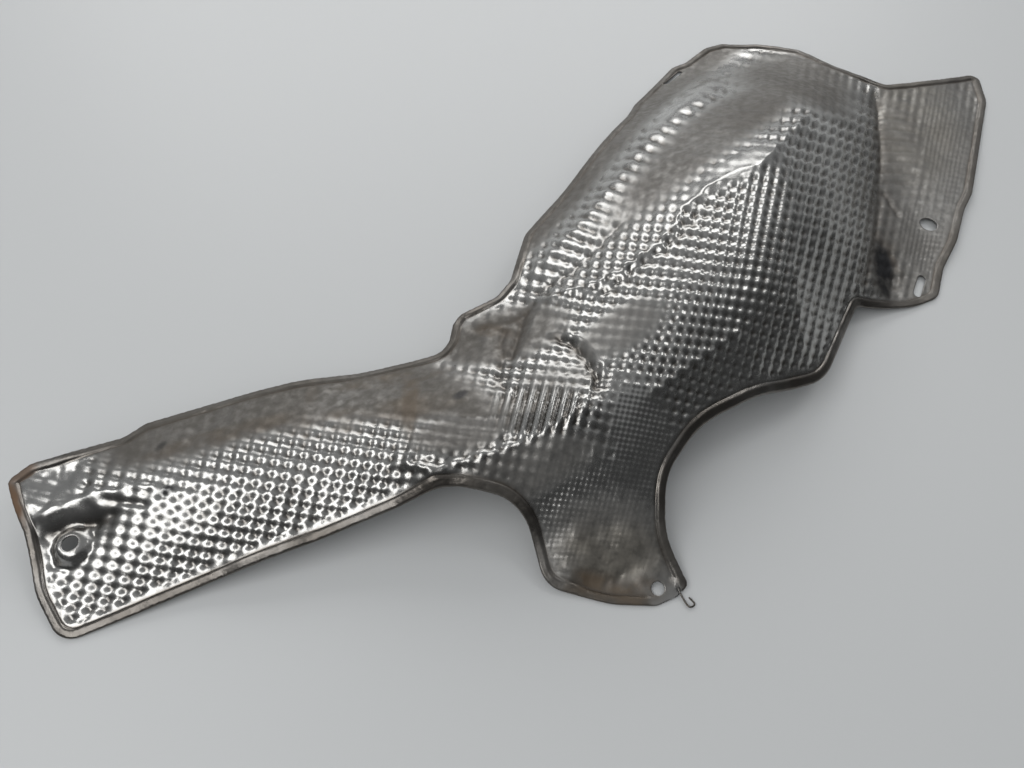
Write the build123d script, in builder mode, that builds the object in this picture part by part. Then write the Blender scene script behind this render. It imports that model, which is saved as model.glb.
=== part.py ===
"""Exhaust heat shield: one aluminium sheet, pressed to shape, with a hem folded over all round.

The sheet lies convex side up. X runs along it from the arm's end to the flange's tip, Y runs across it
from the tongue to the back edge, and Z is up from the surface that it lies on.
"""

import os

import numpy as np
from build123d import *

# Sheet and hem. The thickness is measured upright, since a drawn wall thins as it gets steeper.
SHEET = 0.8
HEM_WIDTH = 4.5

# Curve network that carries the pressed surface, a little larger than the outline.
NETWORK_LENGTH = 728.0
NETWORK_WIDTH = 296.0
PROFILE_PITCH = 16.0
GUIDE_PITCH = 14.8
NETWORK_TOLERANCE = 1e-3

# Slack of the surface at the heights below: loose inside, closer at the rim, and least at the points
# that are low enough to rest on and at those beyond the outline.
INSIDE_SLACK = 1200.0
RIM_SLACK = 250.0
LEAST_SLACK = 1.0
REST_HEIGHT = 0.6

# Bodies that trim the sheet reach from below it to above it.
TRIM_DEPTH = 30.0
TRIM_HEIGHT = 120.0

# Bolt hole of the arm, on a round seat that is pressed up out of the sheet.
ARM_HOLE_AT = (-322, 84)
ARM_HOLE_DIA = 8.0
ARM_SEAT_DIA = 15.0
ARM_SEAT_TOP = 13.4

# Bolt hole and slots of the flange and the back edge.
FLANGE_HOLE_AT = (183, -86.5)
FLANGE_HOLE_DIA = 11.0
FLANGE_SLOT_AT = (135, -110)
FLANGE_SLOT_LENGTH = 17.0
FLANGE_SLOT_WIDTH = 5.0
FLANGE_SLOT_ANGLE = 20.0
BACK_SLOT_AT = (176, 124.5)
BACK_SLOT_LENGTH = 24.0
BACK_SLOT_WIDTH = 3.5
BACK_SLOT_ANGLE = 10.0

# Torn corner of the tongue: the hem is gone beside the bolt hole and a strand of it hangs on.
TONGUE_HOLE_AT = (-125.5, -125)
TONGUE_HOLE_DIA = 6.6
RIP_AT = (-126, -132)
RIP_LENGTH = 16.0
RIP_WIDTH = 14.0
RIP_ANGLE = -21.0
STRAND = [(-118, -131), (-119.5, -135), (-121, -141.5), (-117.5, -143), (-117.5, -138.5)]
STRAND_BEND = 1.0
STRAND_WIDTH = 1.0
STRAND_BASE = 0.6

# Outline seen from above, each corner with the radius that rounds it.
OUTLINE = [
    # Arm's end, from the back corner down to the front corner.
    (-316, 133.5, 4), (-329, 132.5, 4), (-335.5, 104, 14), (-347.5, 76, 40), (-350.5, 49, 12),
    # Front edge of the arm and the arch into the tongue.
    (-288, 26, 300), (-172, -25, 40), (-149, -54, 22),
    # Tongue with its torn corner.
    (-165, -87, 14), (-147, -115, 40), (-132, -130, 6), (-121, -134, 2), (-113.5, -134, 2.5),
    # Hollow between the tongue and the body's front edge, then the body's front corner.
    (-106.5, -110, 30), (-90, -93, 30), (-58, -87, 60), (-22, -96, 150), (21.5, -112.7, 35),
    # Notch and flange.
    (83, -94.5, 9), (119, -116.5, 40), (136, -122.5, 11), (158, -112.5, 25), (182.7, -106.7, 25),
    (211, -95.6, 25), (228, -91.6, 25), (326, -49.5, 20), (351, -28.5, 6),
    # Back edge of the body.
    (279, 9.5, 8), (264.5, 45, 30), (267.5, 78, 12), (256, 104, 40), (236, 126, 14), (222, 131, 12),
    (198, 131, 10), (186.5, 134.5, 10), (127, 120, 20), (107, 110, 20), (-28, 72, 20),
    # Stepped neck and back edge of the arm.
    (-62, 48.5, 10), (-75, 46, 8), (-96, 54, 5), (-103, 52, 5), (-112, 44.5, 8), (-120, 42, 10),
    (-160, 64, 150), (-186, 81.5, 80), (-238, 107, 150), (-262, 116.5, 6), (-274, 115.5, 6),
]

# Heights of the rim, as points (x, y, z) on the sheet's under side.
RIM = [
    # Arm: end, front edge, arch.
    (-322, 133, 17), (-334, 112, 18), (-336, 101, 10), (-347, 76, 4), (-346, 50, 0), (-315, 36, 1.5),
    (-288, 26, 4), (-234, 3, 14), (-196, -14, 23), (-170, -28, 30.5), (-156, -49, 23),
    # Tongue, with the pad round its bolt hole.
    (-157, -69, 11), (-163, -87, 2.5), (-155, -105, 0), (-140, -122, 0), (-122, -133, 0.5),
    (-126, -122, 1), (-114, -133, 1.5), (-107, -112, 13), (-101, -103, 21), (-77, -90, 31),
    # Front edge of the body, then the flange.
    (-44, -90, 31), (1, -105, 20), (33, -109, 15), (71, -98, 9), (102, -107, 3), (133, -120, 0),
    (183, -107, 3), (228, -92, 3), (293, -64, 1), (348, -28, 0), (309, -6, 3),
    # Back edge of the body, the neck and the arm.
    (280, 9, 6), (265, 45, 10), (267, 77, 6), (239, 122, 1), (198, 131, 0.5), (128, 120, 6),
    (20, 85, 17), (-48, 61, 25), (-76, 46, 26), (-102, 52, 21), (-120, 42, 18), (-159, 64, 15),
    (-236, 106, 14), (-274, 116, 16),
]

# Heights inside the rim.
INSIDE = [
    # Raised plateau of the arm's end and the foot of the step below it.
    (-314, 121, 19), (-322, 108, 19.3), (-310, 102, 20), (-297, 96, 21),
    (-330, 100, 10.8), (-317, 93, 11.5), (-300, 83, 16), (-314, 76, 11), (-329, 57, 4),
    # Broad crown of the arm, its back slope and its front slope.
    (-275, 91, 24.5), (-232, 65, 29), (-190, 37, 33), (-153, 9, 37), (-246, 94, 21), (-155, 42, 26),
    (-287, 64, 19), (-239, 37, 26), (-190, 4, 33), (-291, 44, 11), (-241, 20, 20.5), (-188, -8, 31),
    # Neck and knob.
    (-104, 36, 28), (-116, 14, 34), (-142, -15, 40), (-88, -2, 41), (-93, -28, 49), (-118, -26, 46),
    # Brow over the tongue and the tongue's hollow wall.
    (-171, -19, 40), (-155, -30, 42.5), (-128, -40, 49), (-106, -45, 55), (-91, -46, 54),
    (-152, -41, 33.5), (-133, -53, 36), (-113, -62, 42), (-93, -67, 44), (-137, -68, 25),
    (-116, -80, 30), (-133, -85, 16), (-119, -98, 17), (-137, -97, 6.5), (-124, -111, 7),
    (-148, -101, 1.8),
    # Front wall and lower facet of the body.
    (-57, -78, 40), (-26, -85, 42), (0, -92, 36), (-70, -60, 53), (-39, -65, 58.5), (-11, -70, 58),
    (-57, -41, 58), (-25, -45, 65), (-54, -12, 52), (-34, -20, 62),
    # Ridge of the body, from the neck to the peak and down to the back corner.
    (-57, 14, 45.5), (-39, -1, 57), (-13, -7, 66), (21, -4, 72), (52, -10, 74.5), (96, -6, 69), (173, 11, 45),
    # Back facet.
    (-35, 36, 40), (32, 45, 47), (120, 69, 36), (190, 63, 27), (7, 16, 55.5), (99, 32, 54), (145, 27, 47),
    # Right facet.
    (58, -31, 68), (36, -55, 64), (26, -79, 51), (22, -95, 36), (85, -60, 48), (71, -81, 33),
    (103, -34, 56), (162, -23, 36), (139, -49, 27), (210, 2, 26), (109, -74, 24),
    # Foot of the right facet and the nearly flat flange.
    (253, -1, 6), (213, -27, 5.5), (173, -54, 5), (157, -70, 6), (226, -37, 7), (268, -44, 4.5),
    (214, -76, 5), (153, -86, 6), (118, -102, 4),
]

# Heights beyond the outline, where the surface is cut away, so that it dips nowhere below the rim.
BEYOND = [
    (-364, -148, 12), (-364, 0, 8), (-250, -100, 16), (-172, -122, 6), (-150, -148, 6), (20, -148, 16),
    (90, -148, 10), (180, -148, 6), (364, -148, 6), (364, 148, 8), (220, 148, 4), (40, 148, 8),
    (-100, 148, 12), (-364, 148, 15),
]

# Folds in the sheet: height, positive for a ridge, then reach to each side, then the line it follows.
# A fold is full from a short way inside its ends, where a share of it is left.
FOLD_ROUND = 5.0
FOLD_FADE = 20.0
FOLD_END = 0.25
FOLDS = [
    # Step above the arm's bolt seat: its lip and its foot.
    (3.0, 5.0, [(-345, 112), (-333, 107), (-315, 100), (-294, 92)]),
    (-5.0, 7.0, [(-345, 102), (-333, 97), (-315, 90), (-296, 81)]),
    # Brow over the tongue.
    (4.0, 9.5, [(-179, 1), (-171, -19), (-155, -30), (-128, -40), (-106, -44), (-91, -46)]),
    # Pinch across the neck and crease at the knob's right.
    (-2.5, 8.0, [(-70, 25), (-82, 19), (-101, 5), (-119, -8), (-130, -16)]),
    (-2.0, 7.0, [(-81, -5), (-83, -22), (-86, -40), (-91, -47)]),
    # Ridge line of the body.
    (3.0, 9.5, [(-70, 25), (-58, 13), (-39, -1), (-14, -8), (21, -3), (52, -8), (97, -6), (174, 12)]),
    # Valley where the body meets the flange.
    (-2.0, 9.0, [(264, 8), (213, -27), (173, -54), (145, -74), (122, -85)]),
]


def form_kernel(distance):
    """Bending of a thin plate at a distance from a point load."""
    distance = np.maximum(distance, 1e-9)
    return distance**2 * np.log(distance)


def between(a, b):
    """Distances between two sets of points seen from above."""
    return np.hypot(a[:, None, 0] - b[None, :, 0], a[:, None, 1] - b[None, :, 1])


def fold_height(points, height, reach, line):
    """Height that one fold adds: a rounded crest along its line that fades at both ends."""
    nearest = np.full(len(points), np.inf)
    along = np.zeros(len(points))
    travelled = 0.0
    for start, end in zip(np.array(line[:-1], float), np.array(line[1:], float)):
        step = end - start
        length = np.hypot(*step)
        share = np.clip((points - start) @ step / length**2, 0, 1)
        gap = np.hypot(*(points - start - share[:, None] * step).T)
        closer = gap < nearest
        nearest = np.where(closer, gap, nearest)
        along = np.where(closer, travelled + share * length, along)
        travelled += length
    fade = np.clip(np.minimum(along, travelled - along) / FOLD_FADE + FOLD_END, 0, 1)
    crest = np.exp(-(np.hypot(nearest, FOLD_ROUND) - FOLD_ROUND) / reach)
    return height * fade * crest


def folded(points):
    """Height that all folds add at each point."""
    return sum(fold_height(points, *fold) for fold in FOLDS)


def pressed_form(points):
    """Height at each point of a thin plate that is bent through what the folds leave of the heights."""
    knots = np.array(RIM + INSIDE + BEYOND, dtype=float)
    plan, heights = knots[:, :2], knots[:, 2]
    slack = np.repeat([RIM_SLACK, INSIDE_SLACK, LEAST_SLACK], [len(RIM), len(INSIDE), len(BEYOND)])
    slack[heights < REST_HEIGHT] = LEAST_SLACK
    count = len(knots)
    system = np.zeros((count + 3, count + 3))
    system[:count, :count] = form_kernel(between(plan, plan)) + np.diag(slack)
    system[:count, count] = system[count, :count] = 1
    system[:count, count + 1 :] = plan
    system[count + 1 :, :count] = plan.T
    weights = np.linalg.solve(system, np.append(heights - folded(plan), [0, 0, 0]))
    bending = form_kernel(between(points, plan)) @ weights[:count]
    return bending + weights[count] + points @ weights[count + 1 :]


def sheet_heights(points):
    """Height of the sheet's under side at each point seen from above."""
    return pressed_form(points) + folded(points)


def network_marks(length, pitch):
    """Evenly spaced marks over a length that is centred on zero."""
    return np.linspace(-length / 2, length / 2, round(length / pitch) + 1)


def pressed_face():
    """One smooth face over a network of cross profiles and lengthwise guides."""
    columns = network_marks(NETWORK_LENGTH, PROFILE_PITCH)
    rows = network_marks(NETWORK_WIDTH, GUIDE_PITCH)
    plan = np.array([(x, y) for x in columns for y in rows])
    knots = np.column_stack([plan, sheet_heights(plan)]).reshape(len(columns), len(rows), 3)
    profiles = [Edge.make_spline([tuple(knot) for knot in line.tolist()]) for line in knots]
    guides = [Edge.make_spline([tuple(knot) for knot in line.tolist()]) for line in knots.swapaxes(0, 1)]
    return Face.make_gordon_surface(profiles, guides, tolerance=NETWORK_TOLERANCE)


under_side = pressed_face()
floor = Plane.XY.offset(-TRIM_DEPTH)

# Outline of the sheet, and the part of it inside the hem, which also takes in the rip.
with BuildSketch(floor) as outline:
    with BuildLine():
        FilletPolyline(*[(x, y) for x, y, _ in OUTLINE], radius=[r for _, _, r in OUTLINE], close=True)
    make_face()

with BuildSketch(floor) as inside_hem:
    add(outline.sketch)
    offset(amount=-HEM_WIDTH)
    with Locations(RIP_AT):
        Rectangle(RIP_LENGTH, RIP_WIDTH, rotation=RIP_ANGLE)

# Everything above the single sheet, inside the hem.
with BuildPart() as recess:
    extrude(under_side.moved(Location((0, 0, SHEET))), amount=4 * SHEET, dir=(0, 0, 1))
    extrude(inside_hem.sketch, amount=TRIM_HEIGHT, mode=Mode.INTERSECT)

# Round seat of the arm's bolt hole, down to the sheet's under side.
with BuildPart() as arm_seat:
    extrude(under_side, amount=TRIM_HEIGHT, dir=(0, 0, 1))
    with BuildSketch(floor):
        with Locations(ARM_HOLE_AT):
            Circle(ARM_SEAT_DIA / 2)
    extrude(amount=TRIM_DEPTH + ARM_SEAT_TOP, mode=Mode.INTERSECT)

# Strand of torn hem.
with BuildPart() as strand:
    with BuildSketch(Plane.XY.offset(STRAND_BASE)):
        with BuildLine(mode=Mode.PRIVATE) as strand_line:
            FilletPolyline(*STRAND, radius=STRAND_BEND)
        trace(strand_line.line, line_width=STRAND_WIDTH)
    extrude(amount=SHEET)

with BuildPart() as heat_shield:
    # Double sheet in the outline, opened to a single sheet inside the hem.
    extrude(under_side, amount=2 * SHEET, dir=(0, 0, 1))
    extrude(outline.sketch, amount=TRIM_HEIGHT, mode=Mode.INTERSECT)
    add(recess.part, mode=Mode.SUBTRACT)
    # Pressed seat, hollow from below.
    add(arm_seat.part)
    with BuildSketch(floor):
        with Locations(ARM_HOLE_AT):
            Circle(ARM_SEAT_DIA / 2 - SHEET)
    extrude(amount=TRIM_DEPTH + ARM_SEAT_TOP - SHEET, mode=Mode.SUBTRACT)
    # Bolt holes and slots.
    with BuildSketch(floor):
        with Locations(ARM_HOLE_AT):
            Circle(ARM_HOLE_DIA / 2)
        with Locations(FLANGE_HOLE_AT):
            Circle(FLANGE_HOLE_DIA / 2)
        with Locations(TONGUE_HOLE_AT):
            Circle(TONGUE_HOLE_DIA / 2)
        with Locations(FLANGE_SLOT_AT):
            SlotOverall(FLANGE_SLOT_LENGTH, FLANGE_SLOT_WIDTH, rotation=FLANGE_SLOT_ANGLE)
        with Locations(BACK_SLOT_AT):
            SlotOverall(BACK_SLOT_LENGTH, BACK_SLOT_WIDTH, rotation=BACK_SLOT_ANGLE)
    extrude(amount=TRIM_HEIGHT, mode=Mode.SUBTRACT)
    add(strand.part)

# The origin is on the surface that the rim rests on, below the middle of the part.
box = heat_shield.part.bounding_box()
rest_height = min(edge.bounding_box().min.Z for edge in heat_shield.part.edges())
origin = Vector(box.center().X, box.center().Y, rest_height)
heat_shield.part.position -= origin
heat_shield.part.label = "heat_shield"
print("origin moved by", origin, "size", box.size)
os.makedirs("parts", exist_ok=True)
export_step(heat_shield.part, "parts/heat_shield.step")
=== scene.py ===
"""Embossed exhaust heat shield, lying on a pale table.

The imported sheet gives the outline, the holes and the pressed form. A fine skin is laid over it, with the
embossed dimples, the folded hem, the creases, the dents and the torn corner, and is painted as worn
aluminium. Lengths are in millimetres until the skin becomes a mesh.
"""

import math

import bpy
import numpy as np
from mathutils import Matrix, Vector
from mathutils.bvhtree import BVHTree
from mathutils.geometry import delaunay_2d_cdt
from mathutils.kdtree import KDTree


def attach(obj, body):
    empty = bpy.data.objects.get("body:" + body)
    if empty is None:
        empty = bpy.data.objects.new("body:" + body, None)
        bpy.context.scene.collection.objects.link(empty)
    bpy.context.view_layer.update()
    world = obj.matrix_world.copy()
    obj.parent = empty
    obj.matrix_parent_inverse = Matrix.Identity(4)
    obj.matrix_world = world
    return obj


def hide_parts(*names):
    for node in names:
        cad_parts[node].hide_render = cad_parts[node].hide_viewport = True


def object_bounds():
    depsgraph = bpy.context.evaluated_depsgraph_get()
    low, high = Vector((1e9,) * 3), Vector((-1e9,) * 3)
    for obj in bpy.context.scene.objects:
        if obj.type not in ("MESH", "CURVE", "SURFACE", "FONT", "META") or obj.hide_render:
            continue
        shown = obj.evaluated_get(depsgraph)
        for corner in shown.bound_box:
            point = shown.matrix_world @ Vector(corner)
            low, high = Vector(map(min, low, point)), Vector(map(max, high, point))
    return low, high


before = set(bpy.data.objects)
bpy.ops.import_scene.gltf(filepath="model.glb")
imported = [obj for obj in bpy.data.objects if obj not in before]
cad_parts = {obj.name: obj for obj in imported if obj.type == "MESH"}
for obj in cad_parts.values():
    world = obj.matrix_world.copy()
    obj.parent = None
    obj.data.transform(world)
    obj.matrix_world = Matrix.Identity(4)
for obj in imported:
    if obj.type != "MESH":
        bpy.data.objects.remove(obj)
cad_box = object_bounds()

MM = 0.001
NODE = "heat_shield"

# Camera of the photograph: place, view direction and focal length in widths of the picture.
CAMERA_AT = np.array([-253.3, -155.4, 371.8])
CAMERA_FORWARD = np.array([0.3614, 0.3876, -0.8480])
FOCAL_WIDTHS = 769 / 1024
SENSOR = 36.0

# Sheet, hem and rim, the rows of points beside the rim and the holes, and how
# loops are read.
SHEET = 0.8
HEM_WIDTH = 4.5
RIM_STEP = 1.7
RING_DEPTHS = (0.5, 1.2, 2.6, 3.7, 4.3, 4.9, 5.6)
HOLE_STEP = 1.0
HOLE_RINGS = (0.5, 1.3)
SMALLEST_HOLE = 15.0
DENSE_STEP = 0.5
RING_SLACK = 0.15
UNDER_RINGS = (0.8, 2.6)
RIM_NOSE = 0.5
FEWEST_POINTS = 8
UNDER_FACING = 0.2

# Inner end of the hem and the groove beside it, from the hem's width, and the hem's pleats: share of its
# height, length and start of each wave. The paint has its own end and groove, where it paints shade and
# dirt.
HEM_END = (-0.8, 0.2)
GROOVE_AT = 0.5
GROOVE_REACH = 0.7
GROOVE_DEPTH = 0.35
PLEATS = [(0.12, 2.3, 0), (0.1, 3.7, 1)]
HEM_PAINT_END = (-0.6, 0.4)
GROOVE_PAINT_AT = 0.4

# Spacing of the skin's points above, where the emboss is fine, and below.
TOP_SPACING = 1.35
FINE_SPACING = 0.8
UNDER_SPACING = 3.0

# Grid that holds the pressed form, and how far its facets are smoothed.
GRID_STEP = 2.5
FORM_BLUR = 1.3
BROAD_BLUR = 9.0
GRID_MARGIN = 25.0
SLOPE_CAP = 2.0

# Heights below and above the sheet from which it is probed.
PROBE_BELOW = -1.0
PROBE_ABOVE = 100.0

# Emboss: depth of a dimple, how pointed it is, share of the finer dimples, how much deeper stripes are and
# how uneven all is, then how many dimples the picture counts per 500 pixels across and down, with the
# change of that count over the picture (u, v, u*u, u*v, v*v).
EMBOSS_DEPTH = 1.5
EMBOSS_POINT = 1.4
FINE_DEPTH = 0.33
STRIPE_GAIN = 0.8
UNEVEN = 0.35
EMBOSS_COLUMNS = (43.4, 9.7, 8.3, 5.0, 4.2)
EMBOSS_ROWS = (6.8, -44.6, -0.7, -5.0, -0.6)
EMBOSS_UNIT = 500 / 1024

# Creases: height, positive for a ridge, then reach to each side, then the line that each follows. The
# edge is rounded by a share of the reach, and the ends fade out over some times the reach.
CREASE_ROUND = 0.27
CREASE_FADE = 3.0
FOLD_DEPTH = 2.0
CREASES = [
    # Step at the arm's end: lip, foot and the wrinkles that fan out from its corner.
    (1.8, 4.0, [(-332, 112), (-327, 110), (-316, 106), (-295, 98), (-288, 95)]),
    (-2.4, 4.5, [(-334, 104), (-328, 102), (-317, 97), (-298, 86), (-290, 82)]),
    (-1.2, 1.6, [(-300, 96), (-296, 94), (-289, 85), (-281, 76)]),
    (0.9, 1.6, [(-298, 98), (-292, 95), (-284, 89), (-272, 79)]),
    # Brow over the tongue.
    (2.0, 3.2, [(-181, 9), (-173, -12), (-160, -18), (-149, -25), (-140, -30), (-122, -38), (-110, -41),
                (-94, -45)]),
    (-1.2, 2.0, [(-176, 2), (-168, -12), (-155, -17), (-143, -24), (-132, -29)]),
    # Pinch across the neck.
    (-2.6, 2.4, [(-64, 28), (-75, 26), (-87, 18), (-97, 12), (-104, 7)]),
    (-1.8, 2.0, [(-84, 31), (-98, 21), (-103, 13), (-115, 2), (-117, -6)]),
    (-1.4, 2.0, [(-100, 44), (-92, 38), (-84, 31), (-74, 25)]),
    (1.2, 1.8, [(-70, 21), (-83, 14), (-93, 8), (-101, 2)]),
    # Crease at the knob's right, with its lip, and the crease that it sends down the tongue.
    (-2.6, 2.4, [(-78, 4), (-77, -6), (-77, -15), (-80, -26), (-84, -35), (-92, -44)]),
    (1.3, 2.0, [(-73, 2), (-72, -8), (-72, -17), (-75, -28), (-79, -37)]),
    (0.9, 2.2, [(-91, -43), (-99, -50), (-107, -57), (-117, -64)]),
    # Crumpled ridge line of the body: a jagged crest with a jagged groove beside it.
    (1.5, 2.0, [(-66, 25), (-51, 14), (-41, 4), (-36, 3), (-33, -1), (-27, 0), (-22, -3), (-16, -2),
                (-12, -6), (-4, -4), (5, -4), (12, -1), (23, 2), (29, 0), (38, 2), (50, -1)]),
    (-1.2, 1.7, [(-50, 1), (-42, -4), (-37, -3), (-32, -6), (-26, -4), (-20, -9), (-14, -7), (-9, -11),
                 (-3, -9), (4, -11), (9, -8), (16, -8), (26, -3)]),
    (1.4, 3.0, [(44, 1), (63, -5), (73, -8), (93, -4), (131, 5), (176, 15)]),
    # Valley behind the ridge line and the edge of the back facet.
    (-1.8, 3.4, [(-66, 29), (-53, 29), (-38, 24), (-18, 25), (8, 27)]),
    (5.0, 13.0, [(196, 101), (176, 95), (120, 80), (66, 67), (2, 50), (-34, 45), (-64, 43)]),
    # Creases of the front wall and of the right facet.
    (1.6, 3.0, [(-76, -58), (-52, -61), (-31, -64), (-6, -67)]),
    (0.9, 2.6, [(46, -55), (33, -71), (25, -82), (17, -97)]),
    # Valley where the body meets the flange, and a short groove beside it.
    (-1.8, 3.0, [(270, 14), (232, -12), (199, -34), (169, -51), (140, -67), (114, -77), (93, -86)]),
    (-0.9, 1.4, [(184, -46), (178, -57), (173, -68)]),
]

# Dents: waves of these lengths, each with the same small slope, and how much more crumpled places have.
DENT_LENGTHS = (70, 48, 33, 23, 16, 11, 7)
DENT_WAVES = 4
DENT_SLOPE = 0.011
DENT_SEED = 5
CRUMPLE = 5.0

# Patches seen from above: middle, half length, half width, angle and strength. Each fades out between these
# shares of its size.
PATCH_EDGE = (0.6, 1.3)
SMOOTH_PATCHES = [
    # Pad round the tongue's bolt hole, then plateau, step and front of the arm's end.
    (-125, -119, 13, 10, -38, 1.0),
    (-311, 120, 17, 12, -22, 0.7),
    (-311, 100, 26, 7, -24, 1.0),
    (-300, 82, 55, 22, -25, 0.35),
    # Slope above the knob and top of the ridge line.
    (-56, -25, 24, 13, -15, 0.45),
    (60, 1, 40, 10, -5, 0.8),
    # Upper end of the back facet's edge, and the back edge beyond it.
    (140, 87, 50, 10, 14, 0.8),
    (205, 112, 44, 13, 8, 0.9),
]
CRUMPLED_PATCHES = [
    # Plateau of the arm's end, foot of the tongue, end of the brow, neck and the flange's inner corner.
    (-311, 116, 18, 14, -22, 0.8),
    (-134, -95, 28, 15, -42, 1.0),
    (-168, -8, 16, 11, -62, 0.5),
    (-92, 22, 22, 15, -40, 0.5),
    (125, -84, 22, 10, 41, 0.7),
]
FINE_PATCHES = [
    # Tongue, the wall beside it and the flange's outer part, where the dimples are half as far apart.
    (-126, -78, 40, 27, -55, 1.0),
    (-88, -72, 30, 18, 60, 1.0),
    (264, -49, 72, 19, 32, 1.0),
    (172, -86, 34, 18, 32, 1.0),
]
STRIPED_PATCHES = [
    # Knob, where the emboss is drawn out to stripes.
    (-117, -24, 25, 14, -48, 1.0),
]
BANDED_PATCHES = [
    # Flange beside its valley and the edge of the back facet, where the emboss is drawn out to bands.
    (226, -31, 50, 15, 32, 1.0),
    (60, 62, 120, 13, 14, 0.6),
]
STAIN_PATCHES = [
    # Neck, tongue's foot and hole, arm along its length, flange's inner corner and two bars across the arm.
    (-92, 32, 11, 5, -70, 0.9),
    (-148, -98, 24, 8, -50, 1.0),
    (-131, -117, 12, 7, -40, 0.9),
    (-172, 34, 44, 9, -33, 0.45),
    (-236, 82, 48, 6, -27, 0.4),
    (-150, 50, 30, 6, -35, 0.5),
    (128, -82, 24, 13, 41, 0.7),
    (-155, 27, 24, 5, 50, 0.7),
    (-195, 60, 26, 4, 55, 0.4),
]
SOOT_PATCHES = [
    # Flange's inner corner, then marks on the arm.
    (125, -84, 21, 9, 41, 1.0),
    (-271, 75, 4, 2.5, -20, 0.8),
    (-134, 11, 4.5, 3, -10, 0.8),
    (-261, 100, 4, 2, 10, 0.6),
]
PALE_PATCHES = [
    # Tongue's foot and the flange's outer half.
    (-130, -95, 27, 12, -42, 0.8),
    (262, -22, 66, 34, 30, 0.45),
]
RUST_PATCHES = [
    # Hem of the arm's end.
    (-330, 123, 14, 3.5, 78, 0.9),
    (-318, 135, 10, 3.5, -8, 0.6),
]

# Dull parts of the sheet lie to the left of these lines, between two places along X, at a strength.
DULL_SIDES = [
    # Back half of the arm, then the flange, then the slope down to the back edge.
    ([(-330, 112), (-286, 103), (-256, 84), (-219, 67), (-185, 45), (-165, 22), (-146, 2)],
     -300, -112, 1.0),
    ([(266, 10), (232, -12), (199, -34), (169, -51), (140, -67), (114, -77), (80, -90)], 95, 400, 0.6),
    ([(-60, 58), (-26, 60), (21, 72), (80, 86), (143, 103), (200, 112), (270, 120)], -60, 360, 0.85),
]
DULL_PATCHES = [
    # Back facet and back corner of the body, then the tongue's foot, the neck, the brow and the wall under
    # it, the knob's right side and the slope above it.
    (115, 40, 115, 22, 6, 0.9),
    (218, 52, 60, 42, 20, 0.9),
    (-132, -95, 34, 24, -45, 0.7),
    (-92, 26, 34, 20, -40, 0.9),
    (-148, -8, 26, 11, -35, 0.6),
    (-140, -42, 38, 10, -27, 0.55),
    (-98, -20, 18, 10, -45, 0.25),
    (-56, -25, 24, 13, -15, 0.5),
]
DULL_EDGE = 7.0
DULL_FADE = 28.0
DULL_EMBOSS = 0.75

# Torn corner of the tongue, where the hem is gone, and the strand of hem that hangs on.
RIP_PATCHES = [(-124.4, -127.6, 9, 8, -21, 1.0)]
STRAND = [
    (-115.9, -125.4, 2.2), (-117.9, -130.6, 1.4), (-119.2, -136.4, 1.0), (-116.4, -137.6, 1.3),
    (-116.0, -133.6, 1.8),
]
STRAND_RADIUS = 0.45
STRAND_SIDES = 8
STRAND_STEPS = 10

# Seat of the arm's bolt hole.
SEAT_AT = (-320.4, 88.4)
SEAT_RADIUS = 6.0
SEAT_FOOT = 11.5
SEAT_PROBE = 5.5
SEAT_LIP = 0.5

# Where the emboss starts and is full beside the hem, a hole and the seat, and where creases and dents are so
# beside the rim.
EMBOSS_PAST_HEM = (0.8, 3.5)
EMBOSS_PAST_HOLE = (0.5, 2.5)
EMBOSS_PAST_SEAT = (SEAT_RADIUS - 1, SEAT_FOOT - 2)
CREASE_PAST_RIM = (0, 6)

# Paint: colours of the layers.
CLEAN = (0.47, 0.465, 0.45, 1)
DULL = (0.18, 0.17, 0.157, 1)
FILM = (0.1, 0.092, 0.08, 1)
PALE = (0.27, 0.25, 0.215, 1)
# Dark dirt colour, also used as painted shade in the dimple pits, the hem's groove and the crease valleys.
GRIME_AND_SHADE = (0.10, 0.085, 0.07, 1)
BROWN = (0.13, 0.1, 0.07, 1)
RUST = (0.15, 0.085, 0.045, 1)
SOOT = (0.03, 0.03, 0.032, 1)
TABLE = (0.58, 0.59, 0.59, 1)

# Noise that breaks the paint up: scale and detail.
CLOUD = (16, 5)
BLOTCH = (60, 6)
SPECKLE = (220, 4)
GRAIN = (900, 2)

# Range of the noise or mask that a layer follows, then the layer's share at its two ends.
DULL_SHARE = (0.3, 0.6, 0.55, 1)
CLEAN_SHARE = (0.5, 0.8, 0, 0.25)
PIT_SHARE = (0.3, 0.9, 0, 1)
# Painted shade, with dirt, that darkens the dimple pits.
DIMPLE_SHADE_AND_GRIME = (0.3, 0.6, 0.3, 0.75)
# Painted shade, with dirt, that darkens the groove beside the hem.
GROOVE_SHADE_AND_GRIME = (0.3, 0.55, 0.4, 0.95)
HEM_GRIME = (0.3, 0.6, 0.25, 0.5)
# Painted shade that darkens the crease valleys.
FOLD_SHADE = (0.3, 0.6, 0.4, 0.8)
FILM_SHARE = (0.35, 0.62, 0.45, 0.85)
PALE_SHARE = (0.35, 0.6, 0.5, 1)
STAIN_SHARE = (0.36, 0.6, 0, 1)
RUST_SHARE = (0.34, 0.52, 0, 1)
SOOT_SHARE = (0.33, 0.5, 0.3, 1)

# Roughness of clean metal over a range of the noise, what dullness and dirt add to it, dirt's share of metal
# and the table's roughness.
CLEAN_ROUGHNESS = (0.3, 0.7, 0.2, 0.3)
DULL_ROUGHNESS = 0.08
DIRT_ROUGHNESS = 0.3
DIRT_METAL = 0.35
TABLE_ROUGHNESS = 0.45

# Bump of clean and of worn metal, in millimetres.
CLEAN_BUMP = 0.03
WORN_BUMP = 0.35

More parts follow.
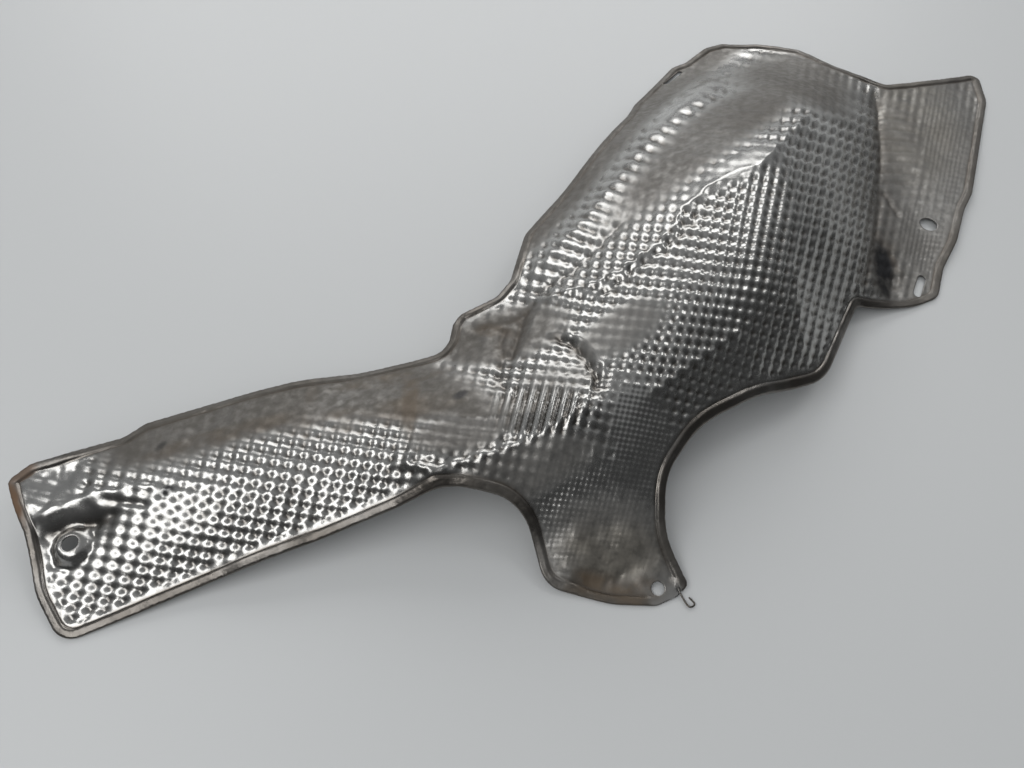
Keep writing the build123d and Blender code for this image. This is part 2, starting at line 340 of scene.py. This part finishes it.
# Studio, in metres and watts: floor, then each panel's name, place, size and power.
FLOOR_SIZE = 8.0
PANELS = [
    ("left_panel", (-0.92, 0.2, 1.29), (1.6, 0.5), 8),
    ("far_panel", (0.87, 1.12, 0.86), (2.0, 0.7), 11),
    ("right_panel", (0.97, -0.1, 1.26), (0.5, 0.4), 1.8),
]
ROOM_COLOUR = (0.96, 0.98, 1, 1)
ROOM_LEVEL = 0.42
BRIGHT_SIDE = (0.35, 0.6, 0.7)
BRIGHT_SPAN = (0.05, 0.75)
MIRROR_LEVELS = (0.06, 0.3)


def smooth_step(low, high, value):
    """0 below low, 1 above high and a soft change between."""
    share = np.clip((value - low) / (high - low), 0, 1)
    return share * share * (3 - 2 * share)


# Packed sheet


def read_sheet():
    """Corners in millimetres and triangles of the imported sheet, with corners at one place joined."""
    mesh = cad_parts[NODE].data
    mesh.calc_loop_triangles()
    corners = np.empty(3 * len(mesh.vertices), np.float32)
    mesh.vertices.foreach_get("co", corners)
    triangles = np.empty(3 * len(mesh.loop_triangles), np.int32)
    mesh.loop_triangles.foreach_get("vertices", triangles)
    rounded = np.round(corners.reshape(-1, 3).astype(float) / MM, 3)
    places, joined = np.unique(rounded, axis=0, return_inverse=True)
    return places, joined.ravel()[triangles].reshape(-1, 3)


def under_loops(places, triangles):
    """Closed lines, seen from above, that bound the sheet's under side."""
    a, b, c = (places[triangles[:, k]] for k in range(3))
    normals = np.cross(b - a, c - a)
    sizes = np.linalg.norm(normals, axis=1)
    under = triangles[normals[:, 2] < -UNDER_FACING * np.maximum(sizes, 1e-9)]
    edges = np.vstack([under[:, [0, 1]], under[:, [1, 2]], under[:, [2, 0]]]).tolist()
    inner = {(end, start) for start, end in edges}
    following = {start: end for start, end in edges if (start, end) not in inner}
    loops = []
    while following:
        start, at = following.popitem()
        loop = [start]
        while at in following:
            loop.append(at)
            at = following.pop(at)
        loops.append(places[loop, :2])
    return loops


def loop_length(loop):
    return np.linalg.norm(np.roll(loop, -1, axis=0) - loop, axis=1).sum()


def even_loop(loop, step):
    """The same closed line with evenly spaced points."""
    closed = np.vstack([loop, loop[:1]])
    travelled = np.append(0, np.cumsum(np.linalg.norm(np.diff(closed, axis=0), axis=1)))
    marks = np.linspace(0, travelled[-1], max(FEWEST_POINTS, round(travelled[-1] / step)), endpoint=False)
    return np.column_stack([np.interp(marks, travelled, closed[:, k]) for k in range(2)])


def inside(points, loop):
    """Which points lie inside a closed line."""
    start, end = loop, np.roll(loop, -1, axis=0)
    crossings = np.zeros(len(points), int)
    for (x0, y0), (x1, y1) in zip(start, end):
        if y0 == y1:
            continue
        spans = (points[:, 1] >= min(y0, y1)) & (points[:, 1] < max(y0, y1))
        across = x0 + (points[:, 1] - y0) * (x1 - x0) / (y1 - y0)
        crossings += spans & (across > points[:, 0])
    return crossings % 2 == 1


def nearest(points, targets):
    """Distance to the nearest target and its number."""
    tree = KDTree(len(targets))
    for number, (x, y) in enumerate(targets):
        tree.insert((x, y, 0), number)
    tree.balance()
    found = [tree.find((x, y, 0)) for x, y in points]
    return np.array([f[2] for f in found]), np.array([f[1] for f in found])


def turning(loop):
    """Twice the area inside a closed line, positive where it runs against the clock."""
    after = np.roll(loop, -1, axis=0)
    return (loop[:, 0] * after[:, 1] - after[:, 0] * loop[:, 1]).sum()


def hole_loops(candidates, rim_turn):
    """The bolt holes and slots: loops that run against the rim, the smallest at each place."""
    kept = []
    for loop in candidates:
        middle = loop.mean(0)
        new = all(np.linalg.norm(middle - other.mean(0)) > SEAT_RADIUS for other in kept)
        if loop_length(loop) > SMALLEST_HOLE and np.sign(turning(loop)) != rim_turn and new:
            kept.append(loop)
    return [even_loop(loop, HOLE_STEP) for loop in kept]


def blurred(grid, reach):
    """Grid smoothed by a bell curve with that reach in cells."""
    half = math.ceil(3 * reach)
    weights = np.exp(-0.5 * (np.arange(-half, half + 1) / reach) ** 2)
    weights /= weights.sum()
    for axis in range(2):
        pads = [(half, half) if k == axis else (0, 0) for k in range(2)]
        padded = np.pad(grid, pads, mode="edge")
        shifts = range(len(weights))
        slices = [np.take(padded, np.arange(grid.shape[axis]) + k, axis=axis) for k in shifts]
        grid = sum(weight * part for weight, part in zip(weights, slices))
    return grid


def carried_on(grid):
    """Grid with its empty cells filled outwards, each along the slope of the cells that it meets."""
    grid = grid.copy()
    steps = [(1, 0), (-1, 0), (0, 1), (0, -1), (1, 1), (1, -1), (-1, 1), (-1, -1)]
    while np.isnan(grid).any():
        padded = np.pad(grid, 2, constant_values=np.nan)
        total = np.zeros_like(grid)
        count = np.zeros_like(grid)
        rows, columns = grid.shape
        for i, j in steps:
            near = padded[2 + i : 2 + i + rows, 2 + j : 2 + j + columns]
            far = padded[2 + 2 * i : 2 + 2 * i + rows, 2 + 2 * j : 2 + 2 * j + columns]
            slope = np.clip(np.nan_to_num(near - far), -SLOPE_CAP, SLOPE_CAP)
            known = ~np.isnan(near)
            total += np.where(known, np.nan_to_num(near) + slope, 0)
            count += known
        fill = np.isnan(grid) & (count > 0)
        grid[fill] = total[fill] / count[fill]
    return grid


def form_grid(tree):
    """Height of the sheet's under side on an even grid that goes a little past the outline."""
    low = rim.min(0) - GRID_MARGIN
    high = rim.max(0) + GRID_MARGIN
    counts = np.ceil((high - low) / GRID_STEP).astype(int) + 1
    grid = np.full(counts, np.nan)
    for i in range(counts[0]):
        for j in range(counts[1]):
            x, y = low + GRID_STEP * np.array([i, j])
            if math.hypot(x - SEAT_AT[0], y - SEAT_AT[1]) < SEAT_RADIUS + GRID_STEP:
                continue
            hit = tree.ray_cast((x, y, PROBE_BELOW), (0, 0, 1))
            if hit[0] is not None:
                grid[i, j] = hit[0].z
    return low, carried_on(grid)


def spline_shares(t):
    """Shares of the four grid lines around a point, for a smooth surface through the grid."""
    return np.stack([(1 - t) ** 3, 3 * t**3 - 6 * t**2 + 4, -3 * t**3 + 3 * t**2 + 3 * t + 1, t**3]) / 6


def grid_height(grid, points):
    """Height of a grid's smooth surface at each point."""
    cell = (points - grid_corner) / GRID_STEP
    whole = np.clip(np.floor(cell).astype(int), 1, np.array(grid.shape) - 3)
    across, along = (spline_shares(cell[:, k] - whole[:, k]) for k in range(2))
    height = np.zeros(len(points))
    for i in range(4):
        for j in range(4):
            height += across[i] * along[j] * grid[whole[:, 0] + i - 1, whole[:, 1] + j - 1]
    return height


places, triangles = read_sheet()
sheet_tree = BVHTree.FromPolygons(places.tolist(), triangles.tolist())
all_loops = sorted(under_loops(places, triangles), key=loop_length)
rim_turn = np.sign(turning(all_loops[-1]))
rim = even_loop(all_loops[-1], RIM_STEP)
holes = hole_loops(all_loops[:-1], rim_turn)
grid_corner, raw_form = form_grid(sheet_tree)
form = blurred(raw_form, FORM_BLUR)
broad_form = blurred(raw_form, BROAD_BLUR)


# Picture and emboss

camera_right = np.cross(CAMERA_FORWARD, (0, 0, 1))
camera_right /= np.linalg.norm(camera_right)
camera_up = np.cross(camera_right, CAMERA_FORWARD)


def picture_place(points, heights):
    """Place of each point in the photograph, from its middle, in units of the emboss count."""
    away = np.column_stack([points, heights]) - CAMERA_AT
    depth = away @ CAMERA_FORWARD
    scale = FOCAL_WIDTHS / EMBOSS_UNIT
    return scale * (away @ camera_right) / depth, -scale * (away @ camera_up) / depth


def emboss_count(terms, u, v):
    a, b, c, d, e = terms
    return a * u + b * v + c * u * u + d * u * v + e * v * v


def emboss(points):
    """Depth of the emboss below the sheet, from 0 on a crown to 1 in a dimple."""
    u, v = picture_place(points, grid_height(broad_form, points))
    columns = 2 * math.pi * emboss_count(EMBOSS_COLUMNS, u, v)
    rows = 2 * math.pi * emboss_count(EMBOSS_ROWS, u, v)
    striped = patches(points, STRIPED_PATCHES) - patches(points, BANDED_PATCHES)
    coarse = (0.5 - 0.25 * (np.cos(columns) * (1 + striped) + np.cos(rows) * (1 - striped))) ** EMBOSS_POINT
    coarse *= 1 + STRIPE_GAIN * np.clip(striped, 0, 1)
    fine = FINE_DEPTH * (0.5 - 0.25 * (np.cos(2 * columns) + np.cos(2 * rows)))
    share = patches(points, FINE_PATCHES)
    return coarse + share * (fine - coarse)


# Creases, dents, patches and hem


def line_distance(points, line):
    """Distance to a line of straight runs, positive on its left, how far along it is, and its length."""
    gaps = np.full(len(points), np.inf)
    sides = np.ones(len(points))
    along = np.zeros(len(points))
    travelled = 0.0
    for start, end in zip(np.array(line[:-1], float), np.array(line[1:], float)):
        step = end - start
        length = np.hypot(*step)
        share = np.clip((points - start) @ step / length**2, 0, 1)
        away = points - start - share[:, None] * step
        gap = np.hypot(*away.T)
        closer = gap < gaps
        gaps = np.where(closer, gap, gaps)
        sides = np.where(closer, np.where(step[0] * away[:, 1] > step[1] * away[:, 0], 1, -1), sides)
        along = np.where(closer, travelled + share * length, along)
        travelled += length
    return gaps * sides, along, travelled


def creases(points):
    """Height that all creases add."""
    height = np.zeros(len(points))
    for depth, reach, line in CREASES:
        gaps, along, length = line_distance(points, line)
        fade = smooth_step(0, CREASE_FADE * reach, np.minimum(along, length - along))
        height += depth * fade * np.exp(CREASE_ROUND - np.hypot(gaps / reach, CREASE_ROUND))
    return height


def dents(points):
    """Height of shallow, uneven dents, from waves of many lengths and directions."""
    chance = np.random.default_rng(DENT_SEED)
    height = np.zeros(len(points))
    for length in np.repeat(DENT_LENGTHS, DENT_WAVES):
        turn, phase = chance.uniform(0, 2 * math.pi, 2)
        across = points @ (math.cos(turn), math.sin(turn))
        height += DENT_SLOPE * length / (2 * math.pi) * np.sin(2 * math.pi * across / length + phase)
    return height


def patches(points, areas):
    """Strength of the strongest of some soft oval patches."""
    strongest = np.zeros(len(points))
    for x, y, half_length, half_width, angle, strength in areas:
        turn = math.radians(angle)
        away = points - (x, y)
        along = away @ (math.cos(turn), math.sin(turn)) / half_length
        across = away @ (-math.sin(turn), math.cos(turn)) / half_width
        strongest = np.maximum(strongest, strength * (1 - smooth_step(*PATCH_EDGE, np.hypot(along, across))))
    return strongest


def dullness(points):
    """How dull the sheet is, from 0 to 1."""
    dull = patches(points, DULL_PATCHES)
    for line, start, end, strength in DULL_SIDES:
        side = smooth_step(-DULL_EDGE, DULL_EDGE, line_distance(points, line)[0])
        ends = smooth_step(start, start + DULL_FADE, points[:, 0])
        ends *= 1 - smooth_step(end - DULL_FADE, end, points[:, 0])
        dull = np.maximum(dull, strength * side * ends)
    return dull


def hem_height(depth, along):
    """Height of the folded hem above the single sheet, with small pleats along its inner edge."""
    nose = np.sqrt(np.clip(1 - (1 - np.clip(depth / SHEET, 0, 1)) ** 2, 0, 1))
    past = depth - HEM_WIDTH
    back = 1 - smooth_step(*HEM_END, past)
    ripple = 1 + sum(share * np.sin(along / length + start) for share, length, start in PLEATS)
    groove = np.exp(-(((past - GROOVE_AT) / GROOVE_REACH) ** 2))
    return SHEET * (nose * ripple * back - GROOVE_DEPTH * groove)


# Skin


def inward(loop, turn):
    """Unit directions across a closed line, to its inner side."""
    tangent = np.roll(loop, -1, axis=0) - np.roll(loop, 1, axis=0)
    tangent /= np.linalg.norm(tangent, axis=1)[:, None]
    return turn * np.column_stack([-tangent[:, 1], tangent[:, 0]])


def ring_points(loop, directions, depths, dense):
    """Rows of points beside a closed line, without those that come too near to another part of it."""
    rows = []
    for depth in depths:
        row = loop + depth * directions
        gaps, _ = nearest(row, dense)
        rows.append(row[gaps > depth - RING_SLACK])
    return np.vstack(rows)


def hex_points(spacing):
    """Evenly spread points over the box of the sheet."""
    low, high = rim.min(0), rim.max(0)
    rows = np.arange(low[1], high[1], spacing * math.sqrt(3) / 2)
    columns = np.arange(low[0], high[0], spacing)
    x, y = np.meshgrid(columns, rows)
    x[1::2] += spacing / 2
    return np.column_stack([x.ravel(), y.ravel()])


def lay_skin(spacing, depths, fine=None):
    """Points and triangles, seen from above, that fill the outline around the holes, closer if fine."""
    rings = [ring_points(rim, inward(rim, rim_turn), depths, dense_rim)]
    field = hex_points(spacing)
    if fine:
        close = hex_points(fine)
        close = close[patches(close, FINE_PATCHES) > 0.5]
        field = np.vstack([field[patches(field, FINE_PATCHES) < 0.5], close])
    field = field[inside(field, rim)]
    gaps, _ = nearest(field, dense_rim)
    field = field[gaps > depths[-1] + spacing / 2]
    for hole in holes:
        rings.append(ring_points(hole, -inward(hole, np.sign(turning(hole))), HOLE_RINGS, hole))
        gaps, _ = nearest(field, hole)
        field = field[(gaps > HOLE_RINGS[-1] + spacing / 2) & ~inside(field, hole)]
    rings = [row[inside(row, rim)] for row in rings]
    points = np.vstack([rim, *holes, *rings, field])
    edges = []
    first = 0
    for loop in [rim, *holes]:
        numbers = first + np.arange(len(loop))
        edges += np.column_stack([numbers, np.roll(numbers, -1)]).tolist()
        first += len(loop)
    laid = delaunay_2d_cdt([Vector(p) for p in points], edges, [], 0, 1e-4, False)
    points = np.array([tuple(p) for p in laid[0]])
    faces = np.array(laid[2])
    middles = points[faces].mean(1)
    kept = inside(middles, rim)
    for hole in holes:
        kept &= ~inside(middles, hole)
    faces = faces[kept]
    a, b, c = (points[faces[:, k]] for k in range(3))
    turned = (b - a)[:, 0] * (c - a)[:, 1] - (b - a)[:, 1] * (c - a)[:, 0] < 0
    faces[turned] = faces[turned][:, ::-1]
    return points, faces


def sheet_skin(points, above):
    """Places of the skin's points in space, and the masks that the paint reads."""
    depth, number = nearest(points, dense_rim)
    hole_gap = np.min([nearest(points, hole)[0] for hole in holes], axis=0)
    seat_gap = np.hypot(*(points - SEAT_AT).T)
    whole_hem = 1 - patches(points, RIP_PATCHES)
    dull = dullness(points)
    free = smooth_step(*EMBOSS_PAST_HEM, depth - HEM_WIDTH) * (1 - patches(points, SMOOTH_PATCHES))
    free *= smooth_step(*EMBOSS_PAST_SEAT, seat_gap) * smooth_step(*EMBOSS_PAST_HOLE, hole_gap)
    uneven = 1 + UNEVEN * np.tanh(dents(points[:, ::-1]))
    dimple = emboss(points) * free * uneven * (1 - DULL_EMBOSS * dull)
    height = grid_height(form, points) - EMBOSS_DEPTH * dimple
    crease = creases(points)
    dent = dents(points)
    crumple = 1 + CRUMPLE * patches(points, CRUMPLED_PATCHES)
    height += (crease + dent * crumple) * smooth_step(*CREASE_PAST_RIM, depth)
    seat = 1 - smooth_step(SEAT_RADIUS - SEAT_LIP, SEAT_FOOT, seat_gap)
    height += seat * (seat_top - SHEET - height)
    if above:
        height += SHEET + hem_height(depth, number * DENSE_STEP) * whole_hem
    else:
        height += RIM_NOSE * (1 - smooth_step(0, SHEET, depth))
    masks = {
        "dimple": dimple,
        "dull": dull,
        "hem": (1 - smooth_step(*HEM_PAINT_END, depth - HEM_WIDTH)) * whole_hem,
        # The groove mask carries painted shade, with dirt, in the groove beside the hem.
        "groove": np.exp(-(((depth - HEM_WIDTH - GROOVE_PAINT_AT) / GROOVE_REACH) ** 2)) * whole_hem,
        # The fold mask carries painted shade in the crease valleys.
        "fold": np.clip(-crease / FOLD_DEPTH, 0, 1),
        "stain": patches(points, STAIN_PATCHES),
        "pale": patches(points, PALE_PATCHES),
        "soot": patches(points, SOOT_PATCHES),
        "rust": patches(points, RUST_PATCHES),
    }
    return np.column_stack([points, height]), masks


dense_rim = even_loop(all_loops[-1], DENSE_STEP)
seat_probe = (SEAT_AT[0] + SEAT_PROBE, SEAT_AT[1], PROBE_ABOVE)
seat_top = sheet_tree.ray_cast(seat_probe, (0, 0, -1))[0].z
top_points, top_faces = lay_skin(TOP_SPACING, RING_DEPTHS, FINE_SPACING)
under_points, under_faces = lay_skin(UNDER_SPACING, UNDER_RINGS)


def wall_faces(loop, top, under, turn):
    """Triangles that join the two skins along a closed line."""
    _, above = nearest(loop, top[:, :2])
    _, below = nearest(loop, under[:, :2])
    below = below + len(top)
    if turn < 0:
        above, below = above[::-1], below[::-1]
    above_next, below_next = np.roll(above, -1), np.roll(below, -1)
    lower = np.column_stack([above, below, below_next])
    upper = np.column_stack([above, below_next, above_next])
    return np.vstack([lower, upper])


def strand_skin():
    """Corners and triangles of the strand: a thin round wire along a smooth line."""
    knots = np.array([STRAND[0], *STRAND, STRAND[-1]])
    line = []
    for a, b, c, d in zip(knots, knots[1:], knots[2:], knots[3:]):
        for t in np.linspace(0, 1, STRAND_STEPS, endpoint=False):
            bend = (2 * a - 5 * b + 4 * c - d) * t**2 + (3 * b - a - 3 * c + d) * t**3
            line.append(b + ((c - a) * t + bend) / 2)
    line = np.array([*line, STRAND[-1]])
    ahead = np.gradient(line, axis=0)
    ahead /= np.linalg.norm(ahead, axis=1)[:, None]
    beside = np.cross(ahead, (0, 0, 1))
    beside /= np.linalg.norm(beside, axis=1)[:, None]
    above = np.cross(beside, ahead)
    turns = 2 * math.pi * np.arange(STRAND_SIDES) / STRAND_SIDES
    rings = [line + STRAND_RADIUS * (math.cos(t) * beside + math.sin(t) * above) for t in turns]
    corners = np.stack(rings, axis=1).reshape(-1, 3)
    faces = []
    for ring in range(len(line) - 1):
        for side in range(STRAND_SIDES):
            near, far = ring * STRAND_SIDES, (ring + 1) * STRAND_SIDES
            after = (side + 1) % STRAND_SIDES
            faces.append((near + side, near + after, far + after))
            faces.append((near + side, far + after, far + side))
    for side in range(1, STRAND_SIDES - 1):
        last = len(corners) - STRAND_SIDES
        faces.append((0, side + 1, side))
        faces.append((last, last + side, last + side + 1))
    return corners, np.array(faces)


def make_sheet():
    """The shield's skin, with the strand, as one mesh."""
    top, top_masks = sheet_skin(top_points, True)
    under, under_masks = sheet_skin(under_points, False)
    strand, strand_faces = strand_skin()
    faces = [top_faces, under_faces[:, ::-1] + len(top)]
    faces.append(wall_faces(rim, top, under, rim_turn))
    for hole in holes:
        faces.append(wall_faces(hole, top, under, -np.sign(turning(hole))))
    faces.append(strand_faces + len(top) + len(under))
    corners = np.vstack([top, under, strand])
    corners[:, 2] = np.clip(corners[:, 2], cad_box[0].z / MM, cad_box[1].z / MM)
    mesh = bpy.data.meshes.new("embossed_sheet")
    mesh.from_pydata((corners * MM).tolist(), [], np.vstack(faces).tolist())
    mesh.shade_smooth()
    for name in top_masks:
        on_strand = np.full(len(strand), name == "groove")
        values = np.concatenate([top_masks[name], under_masks[name], on_strand])
        mask = mesh.attributes.new(name, "FLOAT", "POINT")
        mask.data.foreach_set("value", values.astype(np.float32))
    sheet = bpy.data.objects.new("embossed_sheet", mesh)
    bpy.context.scene.collection.objects.link(sheet)
    return sheet


# Paint


def add_node(tree, kind, inputs, **settings):
    """New node, whose inputs are plain values or other nodes' outputs."""
    node = tree.nodes.new(kind)
    for name, value in settings.items():
        setattr(node, name, value)
    for name, value in inputs.items():
        if isinstance(value, bpy.types.NodeSocket):
            tree.links.new(value, node.inputs[name])
        else:
            node.inputs[name].default_value = value
    return node


def aluminium():
    """Worn aluminium: clean and dull metal, painted shade and dirt in dimples and the hem's groove, painted
    shade in folds, dirt on the hem, stains, soot and rust.
    """
    material = bpy.data.materials.new("worn_aluminium")
    material.use_nodes = True
    tree = material.node_tree
    shader = tree.nodes["Principled BSDF"]
    place = add_node(tree, "ShaderNodeTexCoord", {}).outputs["Object"]

    def noise(scale, detail):
        inputs = {"Vector": place, "Scale": scale, "Detail": detail}
        return add_node(tree, "ShaderNodeTexNoise", inputs).outputs["Fac"]

    def mask(name):
        return add_node(tree, "ShaderNodeAttribute", {}, attribute_name=name).outputs["Fac"]

    def spread(value, low, high, to_low, to_high):
        inputs = {"Value": value, "From Min": low, "From Max": high, "To Min": to_low, "To Max": to_high}
        return add_node(tree, "ShaderNodeMapRange", inputs).outputs["Result"]

    def scaled(value, share, plus=0.0):
        inputs = {0: value, 1: share, 2: plus}
        return add_node(tree, "ShaderNodeMath", inputs, operation="MULTIPLY_ADD").outputs[0]

    def worst(one, other):
        return add_node(tree, "ShaderNodeMath", {0: one, 1: other}, operation="MAXIMUM").outputs[0]

    def layer(share, below, above):
        inputs = {"Factor": share, 6: below, 7: above}
        return add_node(tree, "ShaderNodeMix", inputs, data_type="RGBA").outputs[2]

    cloud, blotch, speckle, grain = noise(*CLOUD), noise(*BLOTCH), noise(*SPECKLE), noise(*GRAIN)
    dull = worst(mask("dull"), mask("hem"))
    dull = scaled(dull, spread(cloud, *DULL_SHARE), spread(cloud, *CLEAN_SHARE))
    pit = spread(mask("dimple"), *PIT_SHARE)
    # Painted shade, with dirt, in the dimple pits.
    pit_shade_and_grime = scaled(pit, spread(speckle, *DIMPLE_SHADE_AND_GRIME))
    # Painted shade, with dirt, in the groove beside the hem.
    groove = scaled(mask("groove"), spread(blotch, *GROOVE_SHADE_AND_GRIME))
    film = scaled(mask("dull"), spread(speckle, *FILM_SHARE))
    # Painted shade in the crease valleys.
    fold = scaled(mask("fold"), spread(speckle, *FOLD_SHADE))
    stain = scaled(mask("stain"), spread(blotch, *STAIN_SHARE))
    rust = scaled(mask("rust"), spread(blotch, *RUST_SHARE))
    colour = layer(dull, CLEAN, DULL)
    colour = layer(pit_shade_and_grime, colour, GRIME_AND_SHADE)
    colour = layer(scaled(mask("hem"), spread(blotch, *HEM_GRIME)), colour, GRIME_AND_SHADE)
    colour = layer(film, colour, FILM)
    colour = layer(scaled(mask("pale"), spread(blotch, *PALE_SHARE)), colour, PALE)
    colour = layer(stain, colour, BROWN)
    # Painted shade in the hem's groove and the crease valleys, in the same dark colour.
    colour = layer(worst(groove, fold), colour, GRIME_AND_SHADE)
    colour = layer(rust, colour, RUST)
    colour = layer(scaled(mask("soot"), spread(blotch, *SOOT_SHARE)), colour, SOOT)
    tree.links.new(colour, shader.inputs["Base Color"])
    dirt = worst(film, worst(stain, rust))
    roughness = spread(speckle, *CLEAN_ROUGHNESS)
    roughness = scaled(dirt, DIRT_ROUGHNESS, scaled(dull, DULL_ROUGHNESS, roughness))
    tree.links.new(roughness, shader.inputs["Roughness"])
    tree.links.new(scaled(dirt, DIRT_METAL - 1, 1.0), shader.inputs["Metallic"])
    rough = scaled(dull, spread(speckle, 0, 1, 0, WORN_BUMP), scaled(grain, CLEAN_BUMP))
    bump = add_node(tree, "ShaderNodeBump", {"Height": rough, "Strength": 1.0, "Distance": MM})
    tree.links.new(bump.outputs["Normal"], shader.inputs["Normal"])
    return material


def table_top():
    """Pale table."""
    material = bpy.data.materials.new("pale_table")
    material.use_nodes = True
    shader = material.node_tree.nodes["Principled BSDF"]
    shader.inputs["Base Color"].default_value = TABLE
    shader.inputs["Roughness"].default_value = TABLE_ROUGHNESS
    return material


# Studio


def make_floor():
    mesh = bpy.data.meshes.new("table")
    half = FLOOR_SIZE / 2
    corners = [(-half, -half, 0), (half, -half, 0), (half, half, 0), (-half, half, 0)]
    mesh.from_pydata(corners, [], [(0, 1, 2, 3)])
    mesh.materials.append(table_top())
    floor = bpy.data.objects.new("table", mesh)
    bpy.context.scene.collection.objects.link(floor)


def make_panel(name, place, size, power):
    """Soft panel light that faces the middle of the shield."""
    lamp = bpy.data.lights.new(name, "AREA")
    lamp.shape = "RECTANGLE"
    lamp.size, lamp.size_y = size
    lamp.energy = power
    panel = bpy.data.objects.new(name, lamp)
    panel.location = place
    panel.rotation_euler = (-Vector(place)).to_track_quat("-Z", "Y").to_euler()
    bpy.context.scene.collection.objects.link(panel)


def make_camera():
    lens = bpy.data.cameras.new("camera")
    lens.sensor_width = SENSOR
    lens.lens = FOCAL_WIDTHS * SENSOR
    camera = bpy.data.objects.new("camera", lens)
    axes = np.column_stack([camera_right, camera_up, -CAMERA_FORWARD])
    camera.matrix_world = Matrix.Translation(Vector(CAMERA_AT * MM)) @ Matrix(axes.tolist()).to_4x4()
    bpy.context.scene.collection.objects.link(camera)
    bpy.context.scene.camera = camera


def make_world():
    """Pale room for the eye and the table, and a room with one dark side for what the metal mirrors."""
    world = bpy.data.worlds.new("studio")
    world.use_nodes = True
    nodes, link = world.node_tree.nodes, world.node_tree.links.new
    room = nodes["Background"]
    room.inputs["Color"].default_value = ROOM_COLOUR
    room.inputs["Strength"].default_value = ROOM_LEVEL
    direction = nodes.new("ShaderNodeTexCoord")
    side = nodes.new("ShaderNodeVectorMath")
    side.operation = "DOT_PRODUCT"
    side.inputs[1].default_value = BRIGHT_SIDE
    level = nodes.new("ShaderNodeMapRange")
    level.interpolation_type = "SMOOTHSTEP"
    level.inputs["From Min"].default_value = BRIGHT_SPAN[0]
    level.inputs["From Max"].default_value = BRIGHT_SPAN[1]
    level.inputs["To Min"].default_value = MIRROR_LEVELS[0]
    level.inputs["To Max"].default_value = MIRROR_LEVELS[1]
    mirrored = nodes.new("ShaderNodeBackground")
    mirrored.inputs["Color"].default_value = ROOM_COLOUR
    path = nodes.new("ShaderNodeLightPath")
    mix = nodes.new("ShaderNodeMixShader")
    link(direction.outputs["Generated"], side.inputs[0])
    link(side.outputs["Value"], level.inputs["Value"])
    link(level.outputs["Result"], mirrored.inputs["Strength"])
    link(path.outputs["Is Glossy Ray"], mix.inputs[0])
    link(room.outputs[0], mix.inputs[1])
    link(mirrored.outputs[0], mix.inputs[2])
    link(mix.outputs[0], nodes["World Output"].inputs["Surface"])
    bpy.context.scene.world = world


sheet = make_sheet()
sheet.data.materials.append(aluminium())
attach(sheet, "root")
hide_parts(NODE)

make_floor()
for panel in PANELS:
    make_panel(*panel)
make_camera()
make_world()
bpy.context.scene.view_settings.view_transform = "Standard"
